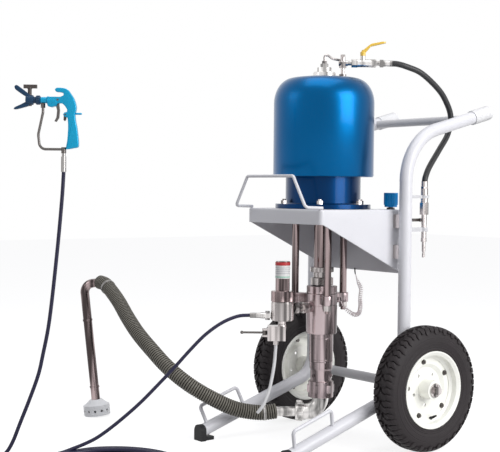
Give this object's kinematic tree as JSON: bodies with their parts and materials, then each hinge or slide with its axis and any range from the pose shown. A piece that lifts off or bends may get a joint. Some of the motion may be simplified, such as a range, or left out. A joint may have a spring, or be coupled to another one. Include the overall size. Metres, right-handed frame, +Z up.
{
  "type": "airless paint sprayer",
  "caption": "Air-powered airless paint sprayer on a two-wheel tube cart, with piston pump, fluid filter, suction hose, siphon tube, pressure hose and spray gun.",
  "frame": {"origin": "on the floor under the middle of the wheel axle", "axes": "+X along the axle to the right-hand wheel, +Y from the skids towards the handles, +Z up"},
  "size_m": [1.2106, 1.7908, 1.3353],
  "materials": {
    "white_paint": "gloss white paint",
    "rim_paint": "cream paint",
    "tyre_rubber": "matt black rubber",
    "black_rubber": "matt",
    "grip_rubber": "satin",
    "motor_blue": "gloss metallic blue",
    "steel": "turned",
    "chrome": "polished",
    "pump_steel": "plated",
    "brass_dark": "plated",
    "lever_yellow": "gloss",
    "knob_blue": "moulded",
    "black_hose": "satin",
    "suction_grey": "ribbed",
    "hose_navy": "smooth",
    "clear_plastic": "smooth",
    "strainer_white": "moulded",
    "gun_blue": "anodised",
    "gun_dark": "moulded",
    "tip_dark": "moulded",
    "lead_red": "striped"
  },
  "bodies": {
    "cart": {"frame_tube_left": "white_paint", "frame_tube_right": "white_paint", "axle_bar": "steel", "axle_sleeve": "white_paint", "handle_crossbar": "white_paint", "handle_grips": "grip_rubber", "rail_hoops": "white_paint", "rubber_feet": "black_rubber", "motor_bracket": "white_paint", "bracket_mounts": "steel", "lift_handle": "white_paint", "motor_shell": "motor_blue", "motor_cylinder": "motor_blue", "fasteners": "steel", "pilot_cap": "brass_dark", "air_manifold": "steel", "air_valve_body": "steel", "air_hose": "black_hose", "inlet_valve": "steel", "inlet_bracket": "white_paint", "regulator_body": "brass_dark", "tie_rods": "chrome", "packing_nut": "pump_steel", "pump_head": "pump_steel", "pump_cylinder": "pump_steel", "foot_valve": "pump_steel", "intake_elbow": "steel", "intake_union": "steel", "suction_hose": "suction_grey", "hose_clamps": "steel", "siphon_tube": "chrome", "siphon_strainer": "strainer_white", "filter_union": "steel", "filter_body": "steel", "filter_bowl": "steel", "drain_valve": "steel", "drain_tube": "clear_plastic", "outlet_fitting": "steel", "pressure_hose_run": "hose_navy", "pressure_hose_coil": "hose_navy", "pressure_hose_riser": "hose_navy", "hose_ferrule": "steel", "earth_lead": "lead_red"},
    "wheel_left": {"rim_left": "rim_paint", "tyre_left": "tyre_rubber"},
    "wheel_right": {"rim_right": "rim_paint", "tyre_right": "tyre_rubber"},
    "drive": {"air_piston": "steel", "connecting_rod": "chrome", "rod_coupling": "steel", "pump_rod": "chrome"},
    "supply_lever": {"air_valve_lever": "lever_yellow"},
    "inlet_handle": {"inlet_lever": "brass_dark"},
    "pressure_knob": {"regulator_knob": "knob_blue"},
    "drain_handle": {"drain_lever": "brass_dark"},
    "gun": {"gun_body": "gun_blue", "gun_fluid_tube": "brass_dark", "tip_guard": "gun_dark"},
    "trigger": {"gun_trigger": "brass_dark"},
    "trigger_catch": {"gun_lock": "tip_dark"},
    "tip": {"spray_tip": "tip_dark"}
  },
  "joints": [
    {"name": "wheel_left_spin", "type": "hinge", "parent": "cart", "child": "wheel_left", "pos_m": [-0.31, 0, 0.203], "axis": [1, 0, 0], "continuous": true},
    {"name": "wheel_right_spin", "type": "hinge", "parent": "cart", "child": "wheel_right", "pos_m": [0.31, 0, 0.203], "axis": [1, 0, 0], "continuous": true},
    {"name": "pump_stroke", "type": "slide", "parent": "cart", "child": "drive", "axis": [0, 0, 1], "range_m": [0, 0.1]},
    {"name": "supply_valve_turn", "type": "hinge", "parent": "cart", "child": "supply_lever", "pos_m": [0.07708, -0.07482, 1.3], "axis": [0, 0, 1], "range_deg": [0, 90]},
    {"name": "inlet_valve_turn", "type": "hinge", "parent": "cart", "child": "inlet_handle", "pos_m": [0.212, 0.071, 0.744], "axis": [1, 0, 0], "range_deg": [0, 90]},
    {"name": "regulator_turn", "type": "hinge", "parent": "cart", "child": "pressure_knob", "pos_m": [0.15, -0.008, 0.8], "axis": [0, 0, 1], "range_deg": [0, 720]},
    {"name": "drain_valve_turn", "type": "hinge", "parent": "cart", "child": "drain_handle", "pos_m": [-0.03454, -0.39034, 0.374], "axis": [0, 0, 1], "range_deg": [0, 90]},
    {"name": "gun_swivel", "type": "hinge", "parent": "cart", "child": "gun", "pos_m": [-0.199, -1.037, 0.952], "axis": [0, 0, 1], "continuous": true},
    {"name": "trigger_pull", "type": "hinge", "parent": "gun", "child": "trigger", "pos_m": [-0.2093, -1.05052, 1.102], "axis": [0.7955, -0.606, 0], "range_deg": [0, 14], "stiffness_Nm_per_rad": 0.6, "springref_deg": -5.73},
    {"name": "trigger_catch_turn", "type": "hinge", "parent": "gun", "child": "trigger_catch", "pos_m": [-0.19536, -1.03223, 1.058], "axis": [-0.7955, 0.606, 0], "range_deg": [0, 80]},
    {"name": "tip_turn", "type": "hinge", "parent": "gun", "child": "tip", "pos_m": [-0.26142, -1.11893, 1.102], "axis": [0, 0, 1], "range_deg": [0, 180]}
  ]
}
